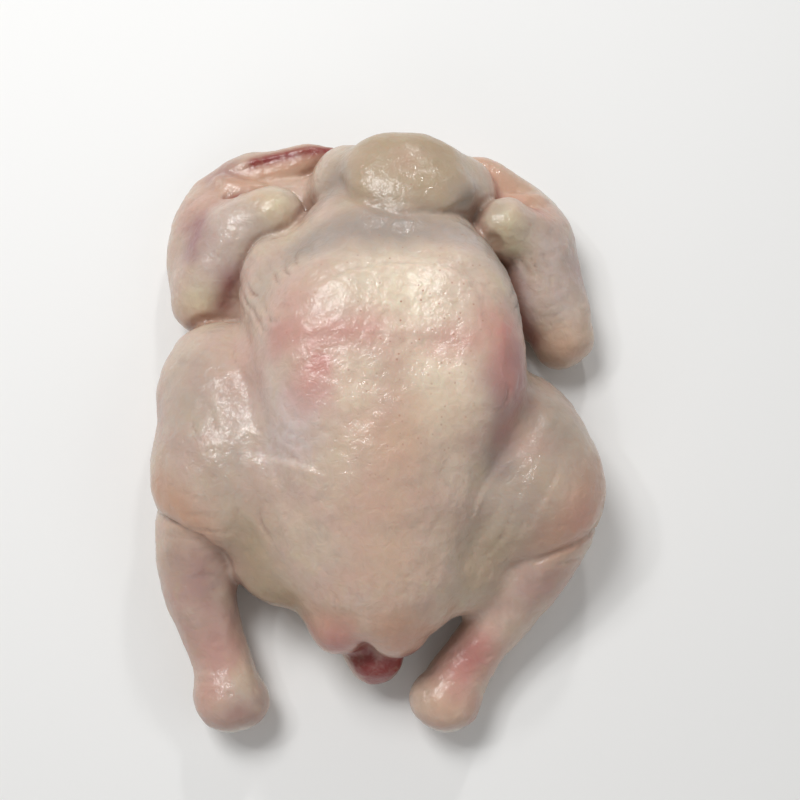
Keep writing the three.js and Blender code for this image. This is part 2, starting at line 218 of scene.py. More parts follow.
tint("cool", [(-24, 60, 52), (-8, 66, 57), (8, 68, 57)], 10, 1.0)
tint("cool", [(8, 68, 57), (22, 67, 56), (34, 58, 52)], 9, 0.9)
# Grey-blue crop skin carried down the right side, darkened there with painted shade.
tint("cool", [(32, 64, 50), (40, 50, 50), (43, 38, 50)], 8, 1.0)
tint("lilac", [(-25, 4, 60), (-28, -6, 58)], 10, 1.2)
tint("lilac", (-34, 6, 55), 12, 0.6)
tint("lilac", (30, 60, 55), 10, 0.3)
tint("olive", [(30, 64, 50), (36, 56, 50)], 6, 0.6)
tint("cool", [(38, 12, 60), (42, 0, 55), (42, -14, 52)], 7, 1.0)
tint("purple", [(38, 12, 60), (41, -2, 55)], 5, 0.35)
tint("pale", (10, 40, 66), 20, 1.0)
tint("pale", [(22, 15, 66), (20, 0, 66)], 11, 1.0)
tint("pale", [(-9, 15, 66), (-8, 4, 66)], 9, 0.7)
tint("blush", [(32, 24, 63), (24, 24, 66)], 7, 0.6)
tint("blush", [(24, 24, 66), (12, 25, 66), (0, 26, 66)], 5, 0.28)
tint("blush", [(-3, 27, 66), (-16, 26.5, 65), (-30, 27, 60)], 7.5, 0.7)
tint("blush", [(-19, 24, 66), (-20, 11, 65)], 9, 0.75)
tint("blush", (-18, 16, 66), 5.5, 1.2)
tint("blush", [(39, 26, 60), (43, 12, 58)], 10, 1.0)
tint("purple", [(44, 20, 56), (45, 8, 54)], 7, 0.6)
tint("blush", (44, 0, 54), 9, 0.6)
tint("blush", [(7, 22, 66), (7, 4, 66)], 4, 0.15)
tint("blush", (-27, 38, 62), 12, 0.4)
tint("peach", (8, -8, 65), 17, 0.65)
tint("peach", [(3, 20, 66), (8, 12, 66)], 7, 0.2)
tint("peach", (6, -26, 62), 19, 0.5)
tint("peach", (5, -45, 56), 16, 0.5)
tint("peach", (7, -64, 42), 13, 1.1)
tint("blush", (8, -68, 38), 7, 0.35)
tint("peach", (-12, -62, 38), 12, 1.0)
tint("blush", (-13, -67, 34), 9, 1.0)
tint("meat", (-12, -69, 31), 6, 0.35)
tint("meat", [(-3, -66, 36), (-2, -74, 26)], 2.2, 0.7)
tint("pores", (8, 34, 66), 30, 1.0)
tint("pores", (8, 0, 64), 30, 0.6)

# Neck skin
# Loose skin of the cut neck, tucked over the neck end in a fat fold with a sharp crease
# under it. Yellow fat shows through, so it is the most olive part of the bird.
NECK_SKIN = dict(at=(9.5, 90, 32), half=(25, 17.5, 22), pitch=-10)
NECK_LIP = dict(at=(12.5, 83, 43), half=(21.5, 11.5, 12.5))
NECK_SIDE_LEFT = dict(at=(-12, 91, 23), half=(13, 17, 16))
NECK_SIDE_RIGHT = dict(at=(30, 87, 24), half=(13, 16, 16))
SHOULDER_SKIN_LEFT = dict(at=(-35, 84, 12), half=(23, 21, 12))
SHOULDER_SKIN_RIGHT = dict(at=(41, 82, 12), half=(18, 21, 12))
NECK_TOP = (54.5, 0.16, 84)    # height, fall per mm towards the neck end, and from where
NECK_FOLD = [(-13, 87, 44), (-7, 79, 49), (4, 74, 53), (13, 73, 54), (24, 74, 53), (32, 79, 47)]
NECK_SOFTNESS = 9
neck_fold_route = spline(NECK_FOLD)


def neck(cloud):
    d = lobe(cloud, **NECK_SKIN)
    for side in (NECK_LIP, NECK_SIDE_LEFT, NECK_SIDE_RIGHT, SHOULDER_SKIN_LEFT, SHOULDER_SKIN_RIGHT):
        d = melt(d, lobe(cloud, **side), SOFT)
    height, fall, start = NECK_TOP
    return -melt(-d, height - fall * (cloud.y - start) - cloud.z, NECK_SOFTNESS)


skin_edge([(-15, 92, 42), *NECK_FOLD, (35, 86, 40)], height=0.9, reach=8)
tint("olive", [(1, 88, 53), (22, 87, 53)], 15, 1.2)
tint("olive", [(1, 100, 44), (20, 99, 44)], 17, 1.1)
tint("olive", [(-8, 82, 47), (4, 78, 52), (22, 78, 52)], 8, 0.8)
tint("fat", [(-2, 82, 50), (10, 77, 53), (24, 78, 52)], 3.5, 0.35)
tint("cool", (-17, 86, 42), 10, 0.8)
tint("cool", (35, 78, 46), 9, 0.9)
tint("blush", (10, 92, 53), 5, 0.2)
tint("pores", (9, 88, 53), 20, 0.5)

# Tail
# The stub of the tail under the vent, with fat in its root and a paler tip.
TAIL = dict(at=(-1.2, -67, 13), half=(11.5, 13.5, 9.5), pitch=8)
TAIL_TIP = dict(at=(-0.5, -76, 13), half=(6.8, 7, 7), pitch=14)
VENT_FLESH = dict(at=(0.5, -74, 18), half=(8, 7.5, 5.5), yaw=8, roll=-6)


def tail(cloud):
    skin = melt(lobe(cloud, **TAIL), lobe(cloud, **TAIL_TIP), SOFT)
    return melt(skin, lobe(cloud, **VENT_FLESH), TIGHT)


tint("meat", [(-5, -72, 20), (0, -78, 18), (5, -72, 21)], 7, 1.3)
tint("meat", (0, -82, 13), 6, 1.0)
tint("fat", (-1, -72, 4), 10, 0.5)

# Wings
# Folded flat at each side: shoulder, upper arm out to the elbow, forearm back up, and the hand
# in towards the neck. Fat makes the shoulder and elbow yellow, and the hand shows red meat.
HAND_FLATNESS = 0.8
WING_LEFT = dict(
    upper_arm=[(-38, 79.5, 29, 9.5), (-48, 76, 27, 12), (-55, 67, 23, 12.3), (-61, 57.5, 19.5, 11.5),
               (-63.5, 51, 17.5, 10.5)],
    shoulder=dict(at=(-37.5, 79.5, 30), half=(12, 10, 11.5)),
    forearm=[(-64, 53, 13, 10), (-66.5, 65, 12, 11), (-67, 80, 12, 11), (-62, 93, 12, 9)],
    web=dict(at=(-56, 78, 15), half=(15.5, 18, 15.5), yaw=15),
    armpit=dict(at=(-46, 54, 9), half=(20, 25, 15), yaw=20),
    fold=dict(at=(-51, 66, 17), half=(8, 13, 12), yaw=25),
    hand=[(-61.5, 92, 12, 9), (-50, 98.5, 15, 9.5), (-35, 103.5, 17, 7.5), (-26, 106.5, 18, 6),
          (-18, 107, 17.5, 4.8)],
    thumb=[(-57, 94, 20, 5.5), (-49, 92.5, 22, 4.5), (-43, 93, 22, 2.6)],
)
WING_RIGHT = dict(
    upper_arm=[(45.5, 74.5, 30, 10), (54, 71, 26.5, 11), (61, 61, 20.5, 11), (66, 49, 15.5, 10.4),
               (68, 39.5, 12.5, 10)],
    shoulder=dict(at=(44.5, 74, 31.5), half=(10.5, 10.5, 12)),
    forearm=[(67.5, 40, 11.5, 9.8), (66, 54, 12, 10), (63.5, 68, 12, 10.5), (57.5, 86, 12, 9)],
    web=dict(at=(58, 70, 15), half=(13, 18, 15.5), yaw=-14),
    armpit=dict(at=(45, 57, 7), half=(18, 19, 12), yaw=-20),
    fold=dict(at=(57.5, 56, 16), half=(8.5, 16, 13), yaw=6),
    hand=[(57.5, 86, 12, 9), (51, 92, 15, 8.5), (43.5, 97, 17, 7.5), (38, 100.5, 18, 6),
          (34, 102.5, 18, 4.8)],
    thumb=[(57, 87, 20, 5), (51, 86, 22, 4.5), (46.5, 88, 22, 2.6)],
)


def make_wing(sizes):
    upper_arm = spline(sizes["upper_arm"])
    forearm = spline(sizes["forearm"])
    hand = spline(sizes["hand"])
    thumb = spline(sizes["thumb"])

    def wing(cloud):
        d = melt(limb(cloud, upper_arm), lobe(cloud, **sizes["shoulder"]), 4)
        d = melt(d, limb(cloud, forearm), SOFT)
        for skin in ("web", "armpit", "fold"):
            d = melt(d, lobe(cloud, **sizes[skin]), SOFT)
        fingers = melt(limb(cloud, hand, HAND_FLATNESS), limb(cloud, thumb), TIGHT)
        return melt(d, fingers, 2)

    return wing


wings = [make_wing(WING_LEFT), make_wing(WING_RIGHT)]
ARMPIT_LEFT = [(-28, 73, 40), (-36, 66, 37), (-43, 57, 33), (-47, 49, 28)]
ARMPIT_RIGHT = [(40, 66, 40), (44, 57, 36), (47.5, 47, 28)]
HAND_SLIT_LEFT = [(-54, 88, 27), (-50, 88, 29), (-46, 90.5, 30), (-42, 91.5, 30)]
wing_slits = [spline(route) for route in (ARMPIT_LEFT, ARMPIT_RIGHT, HAND_SLIT_LEFT)]

skin_edge(HAND_SLIT_LEFT, height=0.9, reach=4)
skin_edge([(-20, 109, 22), (-33, 106.5, 23), (-46, 103, 23), (-56, 99, 20)], height=-0.8, reach=5)
skin_edge([(-46, 48, 30), (-40, 57, 36), (-33, 65, 40), (-25, 71, 44)], height=0.6, reach=8)
tint("fat", (-38, 80, 44), 9, 1.0)
tint("fat", [(44, 73, 42), (48, 66, 38)], 8, 1.0)
tint("blush", [(36, 93, 26), (42, 89, 27), (48, 83, 28), (55, 75, 29)], 4, 0.5)
tint("peach", [(36, 93, 26), (42, 89, 27), (48, 83, 28), (55, 75, 29)], 6, 1.2)
tint("fat", (-62, 50, 27), 8, 1.1)
tint("peach", [(-66, 43, 20), (-61, 41, 20)], 6, 0.9)
tint("peach", (67, 34, 22), 9, 0.7)
tint("fat", (68, 38, 23), 8, 0.5)
tint("peach", [(-52, 94, 26), (-38, 100, 25), (-24, 105, 24)], 8, 1.0)
tint("meat", [(-18, 109, 22), (-33, 106.5, 23), (-46, 103, 23)], 3, 1.0)
tint("olive", [(-22, 114, 17), (-36, 112, 17), (-48, 108, 17)], 5, 0.8)
tint("meat", [(-53, 88, 27), (-46, 90, 29), (-42, 91.5, 30)], 2.0, 0.9)
tint("purple", (-56, 100, 20), 8, 0.6)
tint("meat", [(-55, 49, 25), (-53, 56, 28)], 2.5, 0.5)
tint("purple", [(-55, 48, 25), (-52, 58, 29)], 4, 0.6)
# Purple patch on the left wing, made stronger and darker with painted shade.
tint("purple", [(-62, 75, 28), (-62, 66, 26)], 6, 0.9)
tint("lilac", [(-52, 74, 36), (-57, 62, 30)], 11, 0.5)
tint("lilac", [(62, 66, 32), (66, 52, 26)], 10, 0.5)
tint("lilac", [(50, 60, 28), (54, 46, 24)], 5, 0.8)
tint("peach", [(-42, 82, 42), (-46, 86, 36)], 5, 0.4)
tint("blush", (-64, 84, 24), 10, 0.4)
tint("cool", (-56, 70, 32), 14, 0.5)
tint("cool", (-45, 74, 36), 9, 0.5)
# Painted shade on the left breast side, where it faces the gap to the wing.
tint("cool", [(-34, 54, 46), (-37, 45, 46)], 7, 0.4)
tint("cool", (64, 60, 30), 16, 0.5)
tint("cool", (58, 72, 32), 10, 0.5)
tint("purple", (72, 62, 20), 8, 0.45)
tint("peach", [(54, 88, 26), (44, 96, 25), (37, 101, 24)], 8, 1.0)
# Red meat along the right hand's edge, strengthened as painted shade on that hand.
tint("meat", [(42, 89, 27), (48, 83, 28), (54, 77, 29)], 2.6, 0.45)
# Dark red flesh in the gap by the right elbow, partly painted shade down in the gap.
tint("meat", [(53, 60, 20), (56, 48, 18), (57, 38, 16)], 4.5, 0.6)

# Legs
# Thigh and knee under loose skin, and the drumstick that comes out from under the knee fold
# down to the hock, where the foot was cut off.
LEG_LEFT = dict(
    thigh=dict(at=(-43, -5, 25), half=(32, 37, 25), roll=8),
    flank=dict(at=(-55, 17, 20), half=(22, 26, 20), yaw=10),
    knee=dict(at=(-57, -13, 26), half=(19, 20, 19)),
    drumstick=[(-60, -22, 20, 17), (-62, -42, 18, 13.5), (-60.5, -54, 16.5, 12), (-57, -66, 14.5, 10.2),
               (-53, -76, 13, 9.8), (-49.5, -88, 12.5, 11.5)],
    knuckles=[dict(at=(-55.5, -87.5, 12), half=(7, 7, 8)), dict(at=(-43.5, -89, 12), half=(7, 7, 8))],
)
LEG_RIGHT = dict(
    thigh=dict(at=(45, -11, 25), half=(29.5, 34, 25), yaw=12, roll=-8),
    flank=dict(at=(50, 3, 18), half=(18, 19, 18), yaw=-8),
    knee=dict(at=(58, -17.5, 26), half=(18.5, 20, 19)),
    drumstick=[(58, -28, 21, 17), (54, -42, 19, 14), (46, -56, 16, 11.3), (37, -68, 14, 9.2),
               (29.5, -79, 12.5, 9.4), (23.5, -89.5, 12.5, 10.6)],
    knuckles=[dict(at=(18.5, -89, 12), half=(6.5, 6.5, 7.5)),
              dict(at=(28, -90.5, 12), half=(6.5, 6.5, 7.5))],
)
GROIN_LEFT = [(-43, 12, 47), (-37, -4, 52), (-26, -22, 50), (-18, -36, 44)]
GROIN_RIGHT = [(50, 2, 47), (44, -14, 52), (36, -30, 48), (28, -42, 42)]
KNEE_FOLD_LEFT = [(-78, -22, 20), (-73, -27, 29), (-65.5, -29, 35), (-57, -31.5, 36),
                  (-52.5, -36, 33), (-49, -43, 28)]
KNEE_FOLD_RIGHT = [(78, -26, 20), (70, -31, 29), (62, -36, 32), (54, -43, 31)]
groin_routes = [spline(GROIN_LEFT), spline(GROIN_RIGHT)]
knee_fold_routes = [spline(KNEE_FOLD_LEFT), spline(KNEE_FOLD_RIGHT)]


def make_leg(sizes):
    drumstick = spline(sizes["drumstick"], steps=7)

    def leg(cloud):
        lower = limb(cloud, drumstick)
        for knuckle in sizes["knuckles"]:
            lower = melt(lower, lobe(cloud, **knuckle), 4)
        upper = melt(lobe(cloud, **sizes["thigh"]), lobe(cloud, **sizes["flank"]), FLOW)
        upper = melt(upper, lobe(cloud, **sizes["knee"]), FLOW)
        return melt(upper, lower, TIGHT)

    return leg


legs = [make_leg(LEG_LEFT), make_leg(LEG_RIGHT)]

skin_edge(KNEE_FOLD_LEFT, height=1.0, reach=7)
skin_edge([(-49, -43, 29), (-44, -49.5, 28), (-37, -54.5, 27), (-30, -59, 27)], height=0.7, reach=6)
skin_edge([(52, -44, 31), *KNEE_FOLD_RIGHT[::-1]], height=-1.0, reach=7)
skin_edge([(-14, -19, 59), (-23, -15, 58), (-29, -13, 55), (-35.5, -10.5, 52), (-43, -8, 48)],
          height=0.8, reach=9)
skin_edge([(-43, -21, 45), (-47, -16, 48), (-51, -11, 49), (-54, -6, 50), (-59, -1, 49)],
          height=0.8, reach=6)
skin_edge([(-64, -48.5, 28), (-59, -47.5, 31), (-52, -48, 30)], height=0.5, reach=4)
skin_edge([(46, -8, 51), (38, -20, 52), (31, -34, 47)], height=0.6, reach=6)
skin_edge([(63, -14, 50), (55, -24, 49), (50, -34, 43)], height=0.5, reach=6)
tint("cool", (-58, 8, 44), 24, 0.55)
tint("cool", (-50, -12, 48), 14, 0.4)
# Right thigh: darker olive-grey skin, deepened further with painted shade.
tint("cool", (58, -1, 42), 22, 0.6)
tint("olive", (60, 0, 40), 17, 0.55)
tint("peach", [(-73, -20, 38), (-63, -26, 40), (-56, -30, 38)], 8, 1.1)
tint("peach", [(74, -16, 36), (66, -24, 40), (60, -32, 37)], 10, 1.2)
tint("blush", (66, -28, 38), 8, 0.45)
tint("olive", [(-44, -36, 42), (-40, -50, 34), (-28, -58, 34)], 11, 1.0)
tint("olive", [(44, -34, 42), (34, -48, 38)], 12, 0.8)
tint("olive", (52, -18, 46), 12, 0.6)
tint("cool", (46, -24, 46), 14, 0.6)
tint("blush", (-45, 24, 48), 14, 0.3)
tint("purple", (-60, -48, 26), 15, 0.55)
tint("purple", (-57, -64, 24), 11, 0.4)
tint("blush", (-54, -72, 20), 10, 0.6)
tint("blush", (-55, -86, 20), 9, 0.5)
tint("cool", (-46, -90, 20), 9, 0.5)
tint("purple", (55, -50, 28), 12, 0.45)
tint("blush", [(34, -72, 22), (28, -78, 22)], 8, 1.0)
tint("meat", (33, -74, 22), 6, 0.35)
tint("peach", (23, -90, 20), 10, 0.7)
tint("meat", [(-56, -97, 12), (-43, -98, 12)], 8, 0.75)
tint("bone", [(-55.5, -97, 12), (-44, -99, 12)], 4.6, 1.5)
tint("meat", [(18, -98, 12), (28, -99, 12)], 7.5, 0.75)
tint("bone", [(18.5, -98.5, 12), (28, -99.5, 12)], 4.2, 1.5)
tint("blush", (-77, -4, 22), 12, 0.35)

# Whole skin
# One closed sheet of skin over everything: the forms above joined in order, the folds between
# them pressed in, and the back flattened where the bird lies on the table.
FLOOR_ROUNDING = 4.5
CELL = 1.1
HOLLOW_SHADE_REACH = 5
JUST_INSIDE = -0.05
RESTING_HEIGHT = 0.35
FORM_BOX = ((-86, -108, -6), (90, 122, 78))


def bird(cloud):
    d = melt(trunk(cloud), neck(cloud), 2)
    d = d + groove(cloud, neck_fold_route, width=2.2, depth=1.5)
    d = melt(d, tail(cloud), 3)
    for leg in legs:
        d = melt(d, leg(cloud), SOFT)
    for wing in wings:
        d = melt(d, wing(cloud), TIGHT)
    for route in groin_routes:
        d = d + groove(cloud, route, width=6, depth=1.4)
    for route in wing_slits:
        d = d + groove(cloud, route, width=2.2, depth=1.8)
    for route in knee_fold_routes:
        d = d + groove(cloud, route, width=2.4, depth=1.2)
    return -melt(-d, cloud.z, FLOOR_ROUNDING)


def window(grid, offset, size):
    return grid[tuple(slice(start, start + length) for start, length in zip(offset, size))]


def close_pinches(grid):
    """Fills samples where two skins would touch in one edge or corner only."""
    corners = [(i, j, k) for i in (0, 1) for j in (0, 1) for k in (0, 1)]
    size = np.array(grid.shape) - 1
    filled = 1
    while filled:
        filled = 0
        for axis in range(3):
            u, v = np.eye(3, dtype=int)[[(axis + 1) % 3, (axis + 2) % 3]]
            face = np.array(grid.shape) - u - v
            a, b, c, d = (window(grid, offset, face) for offset in (u * 0, u, v, u + v))
            for p, q, r, s in ((a, d, b, c), (b, c, a, d)):
                hit = (p < 0) & (q < 0) & (r >= 0) & (s >= 0)
                lower = hit & (r <= s)
                r[lower] = JUST_INSIDE
                s[hit & ~lower] = JUST_INSIDE
                filled += int(hit.sum())
        inside = {corner: window(grid, corner, size) < 0 for corner in corners}
        count = sum(part.astype(np.int8) for part in inside.values())
        for corner in corners[:4]:
            opposite = tuple(1 - i for i in corner)
            beside = (1 - corner[0], corner[1], corner[2])
            alone = (count == 2) & inside[corner] & inside[opposite]
            hole = (count == 6) & ~inside[corner] & ~inside[opposite]
            window(grid, beside, size)[alone] = JUST_INSIDE
            window(grid, corner, size)[hole] = JUST_INSIDE
            filled += int(alone.sum() + hole.sum())


def sample(field, low, high, cell, block=8, margin=4.0):
    """Values of a field on a grid, worked out only in the blocks near its skin."""
    low = np.array(low, float)
    count = np.ceil((np.array(high, float) - low) / cell / block).astype(int)
    grid = np.full(count * block + 1, FAR, np.float32)
    index = np.stack(np.meshgrid(*map(np.arange, count), indexing="ij"), -1).reshape(-1, 3)
    value = field(Cloud(low + (index + 0.5) * block * cell))
    near = np.abs(value) < block * cell * 0.87 + margin
    for (i, j, k), sign in zip(index[~near] * block, np.sign(value[~near])):
        grid[i : i + block + 1, j : j + block + 1, k : k + block + 1] = sign * FAR
    steps = np.stack(np.meshgrid(*[np.arange(block + 1)] * 3, indexing="ij"), -1).reshape(-1, 3)
    index = index[near]
    tile = (index // 3) @ (10000, 100, 1)
    for number in np.unique(tile):
        at = (index[tile == number][:, None, :] * block + steps[None]).reshape(-1, 3)
        grid[tuple(at.T)] = field(Cloud(at * cell + low))
    return grid


def net(field, low, high, cell):
    """Closed net of quads over the skin of a field: one point in each grid cell it crosses."""
    grid = sample(field, low, high, cell)
    close_pinches(grid)
    inside = grid < 0
    corners = [(i, j, k) for i in (0, 1) for j in (0, 1) for k in (0, 1)]
    size = np.array(grid.shape) - 1
    count = sum(window(inside, corner, size).astype(np.int8) for corner in corners)
    cells = np.argwhere((count > 0) & (count < 8))
    number = np.full(count.shape, -1, np.int64)
    number[tuple(cells.T)] = np.arange(len(cells))
    total, crossings = np.zeros((len(cells), 3)), np.zeros(len(cells))
    for axis in range(3):
        for corner in corners:
            if corner[axis]:
                continue
            start = cells + corner
            end = start + np.eye(3, dtype=int)[axis]
            a, b = grid[tuple(start.T)], grid[tuple(end.T)]
            cross = (a < 0) != (b < 0)
            at = np.tile(np.array(corner, float), (int(cross.sum()), 1))
            at[:, axis] = a[cross] / (a[cross] - b[cross])
            total[cross] += at
            crossings[cross] += 1
    points = (cells + total / crossings[:, None]) * cell + np.array(low, float)
    quads = []
    for axis in range(3):
        u, v = (axis + 1) % 3, (axis + 2) % 3
        first, second = [slice(1, -1)] * 3, [slice(1, -1)] * 3
        first[axis], second[axis] = slice(None, -1), slice(1, None)
        edge = np.argwhere(inside[tuple(first)] != inside[tuple(second)])
        edge[:, [u, v]] += 1
        step_u, step_v = np.eye(3, dtype=int)[[u, v]]
        around = [edge - step_u - step_v, edge - step_v, edge, edge - step_u]
        quad = np.stack([number[tuple(at.T)] for at in around], 1)
        enters = ~inside[tuple(edge.T)]
        quad[enters] = quad[enters][:, ::-1]
        quads.append(quad)
    return points, np.vstack(quads)


def slope(field, points, step=0.2, tile=26):
    """Value and slope of a field at points, worked out for points that lie close together."""
    value, grad = np.zeros(len(points)), np.zeros((len(points), 3))
    key = np.floor(points / tile).astype(int) @ (10000, 100, 1)
    order = np.argsort(key, kind="stable")
    for part in np.split(order, np.flatnonzero(np.diff(key[order])) + 1):
        value[part] = field(Cloud(points[part]))
        for axis, offset in enumerate(np.eye(3) * step):
            grad[part, axis] = (field(Cloud(points[part] + offset)) - value[part]) / step
    return value, grad


def settle(field, points):
    """Moves points onto the skin of a field."""
    value, grad = slope(field, points)
    return points - grad * (value / np.maximum((grad * grad).sum(1), 0.05))[:, None]


points, quads = net(bird, *FORM_BOX, CELL)
points = settle(bird, points)
grad = slope(bird, points)[1]
normals = grad / np.maximum(np.linalg.norm(grad, axis=1), 1e-6)[:, None]
# Painted shade: how closely other skin crowds each point, later painted as darker colour in hollows and
# between parts.
painted_hollow_shade = 1 - np.clip(slope(bird, points + normals * HOLLOW_SHADE_REACH)[0] / HOLLOW_SHADE_REACH, 0, 1)


def speckle(size, offset=0.0):
    """Smooth noise from -1 to 1 at every point, with lumps of the given size in mm."""
    scaled = points / size + offset
    return np.array([noise.noise(p) for p in scaled.tolist()])


broad = speckle(26)
medium = speckle(10, 7.3)
fine = speckle(4.2, 3.1)
tiny = speckle(2.1, 5.7)


def along_route(route, near):
    """Signed distance to a route, seen from above, and the place along it from 0 to 1."""
    best = np.full(len(near), 1e9)
    signed, share = np.zeros(len(near)), np.zeros(len(near))
    for i, (a, b) in enumerate(zip(route[:-1], route[1:])):
        step = b - a
        t = np.clip((near - a) @ step / (step @ step), 0, 1)
        off = near - (a + t[:, None] * step)
        away = np.linalg.norm(off, axis=1)
        side = np.sign(step[0] * off[:, 1] - step[1] * off[:, 0])
        closer = away < best
        best[closer] = away[closer]
        signed[closer] = (away * side)[closer]
        share[closer] = (i + t[closer]) / (len(route) - 1)
    return signed, share


def on_skin(routes):
    """Brings every place of the routes onto the skin."""
    places = np.vstack(routes)
    for _ in range(3):
        places = settle(bird, places)
    return np.split(places, np.cumsum([len(route) for route in routes])[:-1])


EDGE_TAPER = 0.22
HOLLOW_WIDTH = 1.6
HOLLOW_SHARE = 0.55


def edge_relief():
    """Height of the skin edges: raised on one side, a narrow hollow on the other."""
    height_map = np.zeros(len(points))
    routes = on_skin([edge[0] for edge in skin_edges])
    for route, (_, height, reach, sharpness) in zip(routes, skin_edges):
        low, high = route.min(0) - 3 * reach, route.max(0) + 3 * reach
        chosen = np.flatnonzero(((points > low) & (points < high)).all(1))
        signed, share = along_route(route, points[chosen])
        signed = signed * np.sign(height) + 0.8 * medium[chosen] + 0.5 * fine[chosen]
        taper = np.clip(np.minimum(share, 1 - share) / EDGE_TAPER, 0, 1) ** 0.8
        raised = 1 / (1 + np.exp(-np.clip(signed / (0.5 * sharpness), -30, 30)))
        bank = raised * np.exp(-np.maximum(signed, 0) / reach)
        ditch = (1 - raised) * np.exp(-np.maximum(-signed, 0) / HOLLOW_WIDTH)
        height_map[chosen] += abs(height) * taper * (bank - HOLLOW_SHARE * ditch)
    return height_map


# Loose skin wrinkles in parallel lines round the joints: place and reach in mm, the
# direction across the lines, their spacing and their depth.
WRINKLES = [
    ((-36, 48, 46), 16, (0.75, 0.6, 0.3), 4.2, 1.6),
    ((-30, 34, 58), 12, (0.5, 0.85, 0), 4.2, 0.6),
    ((-42, 30, 46), 13, (0.9, 0.3, 0), 5.0, 0.8),
    ((44, 34, 50), 12, (-0.8, 0.5, 0.3), 4.2, 0.9),
    ((44, 10, 54), 11, (-1, 0.1, 0), 3.8, 0.8),
    ((8, 68, 56), 16, (0.1, 1, 0.3), 4.2, 0.4),
    ((-62, -36, 36), 12, (0.1, 1, 0.2), 4.6, 0.8),
    ((62, -38, 34), 12, (-0.3, 1, 0.2), 4.6, 0.8),
    ((-54, -76, 18), 12, (0.15, 1, 0), 3.4, 0.6),
    ((32, -78, 18), 12, (-0.5, 0.9, 0), 3.4, 0.6),
    ((-38, -30, 46), 16, (0.9, 0.45, 0.2), 5.2, 0.8),
    ((36, -34, 44), 14, (-0.9, 0.4, 0.2), 5.2, 0.7),
    ((-60, 53, 22), 11, (0.3, 0.9, 0.2), 3.6, 0.6),
    ((66, 42, 20), 11, (-0.3, 0.9, 0.2), 3.6, 0.6),
    ((-52, 68, 30), 11, (0.8, -0.45, 0.2), 4.2, 0.5),
    ((56, 60, 28), 11, (0.9, 0.3, 0.2), 4.0, 0.7),
    ((-60, 86, 22), 12, (0.7, -0.6, 0.2), 4.4, 0.6),
    ((58, 80, 24), 11, (0.7, 0.6, 0.2), 4.4, 0.6),
    ((-54, -4, 48), 16, (0.85, 0.5, 0), 6.5, 0.8),
    ((54, -8, 46), 16, (-0.85, 0.5, 0), 6.5, 0.7),
    ((-24, -8, 60), 10, (0.4, 0.9, 0), 4.0, 0.6),
    ((-6, -60, 40), 14, (1, 0.15, 0), 4.4, 0.7),
]


def wrinkles():
    depth = np.zeros(len(points))
    for place, reach, across, spacing, amount in WRINKLES:
        weight = np.exp(-(((points - place) ** 2).sum(1) / reach**2))
        line = points @ (np.array(across) / np.linalg.norm(across)) + 3.5 * broad + 2.4 * medium
        valley = (1 - np.abs(np.sin(np.pi * line / spacing))) ** 3
        depth += amount * weight * valley * np.clip(0.5 + 1.8 * medium, 0, 1.4)
    return -depth


BROAD_RELIEF = 1.2
MEDIUM_RELIEF = 0.6
FINE_RELIEF = 0.26
TINY_RELIEF = 0.09
folds = wrinkles() + edge_relief()
# Painted shade: the deeper a fold's hollow or wrinkle valley, the darker its colour is painted.
painted_fold_shade = np.clip(-1.1 * folds - 0.1, 0, 1)
relief = BROAD_RELIEF * broad + MEDIUM_RELIEF * medium + FINE_RELIEF * fine + TINY_RELIEF * tiny + folds
lift = np.clip(points[:, 2] / 6, 0, 1)
sketch = points
points = points + normals * (relief * lift)[:, None]
points[:, 2] = np.maximum(points[:, 2], 0)
points[points[:, 2] < RESTING_HEIGHT, 2] = 0


def patches(kind):
    """Strength of a tint at every point: soft patches and streaks with a ragged edge."""
    total = np.zeros(len(sketch))
    routes = on_skin([place[0] for place in tints[kind]])
    for route, (_, reach, strength) in zip(routes, tints[kind]):
        line = np.vstack([route, route + 1e-3]) if len(route) == 1 else route
        away = np.abs(along_route(line, sketch)[0]) / reach
        away = away * (1 + 0.45 * medium + 0.12 * fine)
        total = np.maximum(total, strength * np.exp(-(away**2)))
    return np.clip(total, 0, 1)


mesh = bpy.data.meshes.new("chicken_skin")
mesh.from_pydata(((points - SKETCH_MIDDLE) * MM).tolist(), [], quads.tolist())
mesh.polygons.foreach_set("use_smooth", [True] * len(mesh.polygons))
for kind in tints:
    mesh.attributes.new(kind, "FLOAT", "POINT").data.foreach_set("value", patches(kind))
mesh.attributes.new("painted_hollow_shade", "FLOAT", "POINT").data.foreach_set("value", painted_hollow_shade)
mesh.attributes.new("painted_fold_shade", "FLOAT", "POINT").data.foreach_set("value", painted_fold_shade)
skin = bpy.data.objects.new("chicken_skin", mesh)
bpy.context.scene.collection.objects.link(skin)

# Raw skin finish
# Thin moist skin over pink meat and pale fat: it lets light in, so it is soft and deep, with
# small follicles in rows, fine grain, blotches of blood under it and a wet film on top.
CREAM = (0.62, 0.50, 0.40, 1)
ROSE = (0.59, 0.43, 0.36, 1)
# Colour of the painted shade in fold hollows.
FOLD_SHADE_COLOUR = (0.40, 0.22, 0.18, 1)
# Colour of the painted shade in hollows and between parts.
HOLLOW_SHADE_COLOUR = (0.28, 0.14, 0.10, 1)
FOLLICLE_COLOUR = (0.42, 0.20, 0.14, 1)
MOTTLE_SHADE = (0.88, 0.80, 0.76, 1)
WHITE = (1, 1, 1, 1)
FOLLICLE_SPACING = 3.3 * MM
TINT_COLOURS = dict(
    pale=(0.80, 0.69, 0.54, 1),
    fat=(0.64, 0.55, 0.38, 1),
    olive=(0.44, 0.34, 0.23, 1),
    peach=(0.60, 0.38, 0.27, 1),
    cool=(0.37, 0.31, 0.27, 1),
    lilac=(0.64, 0.53, 0.49, 1),
    blush=(0.58, 0.29, 0.25, 1),
    purple=(0.34, 0.17, 0.17, 1),
    meat=(0.26, 0.045, 0.04, 1),
    bone=(0.66, 0.60, 0.53, 1),
)


